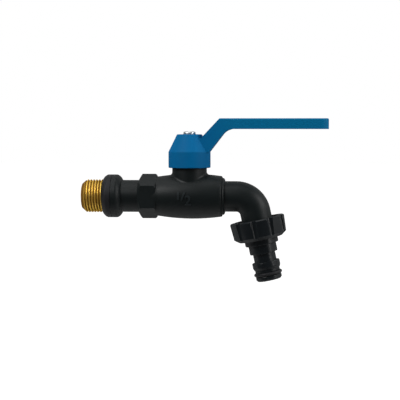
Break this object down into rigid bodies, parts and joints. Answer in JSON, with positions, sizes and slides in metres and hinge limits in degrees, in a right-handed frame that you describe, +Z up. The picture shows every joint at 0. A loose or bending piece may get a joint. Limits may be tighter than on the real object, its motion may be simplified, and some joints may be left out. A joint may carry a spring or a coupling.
{
  "type": "outdoor ball tap with lever and hose nipple",
  "caption": "Quarter-turn outdoor tap: brass inlet thread, black plastic ball-valve body, blue cranked lever, bent spout, lobed union nut and stepped quick-connect hose nipple.",
  "frame": {"origin": "on the inlet axis, at the wall side of the seal ring, where the inlet thread starts", "axes": "+X out of the wall along the flow, +Z up along the stem to the lever, +Y to the far side"},
  "size_m": [0.1565, 0.0348, 0.1035],
  "materials": {
    "brass": "machined",
    "rubber": "satin",
    "black_body_plastic": "satin",
    "black_nut_plastic": "semi-gloss",
    "blue_plastic": "semi-gloss",
    "white_seat_plastic": "smooth",
    "plated_steel": "polished"
  },
  "bodies": {
    "tap_body": {"inlet_thread_insert": "brass", "inlet_seal": "rubber", "valve_body": "black_body_plastic", "inlet_seat": "white_seat_plastic", "inlet_seat_backing": "rubber", "outlet_seat": "white_seat_plastic", "outlet_seat_backing": "rubber", "spout": "black_body_plastic", "spout_o_ring": "rubber", "gland_bush": "black_body_plastic"},
    "lever": {"lever_handle": "blue_plastic", "handle_screw": "plated_steel", "stem": "brass", "lower_stem_o_ring": "rubber", "upper_stem_o_ring": "rubber", "thrust_washer": "white_seat_plastic", "ball": "brass"},
    "nipple": {"hose_nipple": "black_nut_plastic", "nipple_o_ring": "rubber", "outlet_washer": "rubber"},
    "nut": {"union_nut": "black_nut_plastic"}
  },
  "joints": [
    {"name": "lever_turn", "type": "hinge", "parent": "tap_body", "child": "lever", "pos_m": [0.0553, 0, 0], "axis": [0, 0, 1], "range_deg": [-90, 0]},
    {"name": "nipple_slide", "type": "slide", "parent": "tap_body", "child": "nipple", "axis": [0.2079, 0, -0.9781], "range_m": [0, 0.00545]},
    {"name": "nut_turn", "type": "hinge", "parent": "nipple", "child": "nut", "pos_m": [0.09811, 0, -0.01426], "axis": [0.2079, 0, -0.9781], "range_deg": [0, 1080]}
  ],
  "couplings": [
    {"joint": "nipple_slide", "follows": "nut_turn", "m_per_rad": 0.00028871}
  ]
}
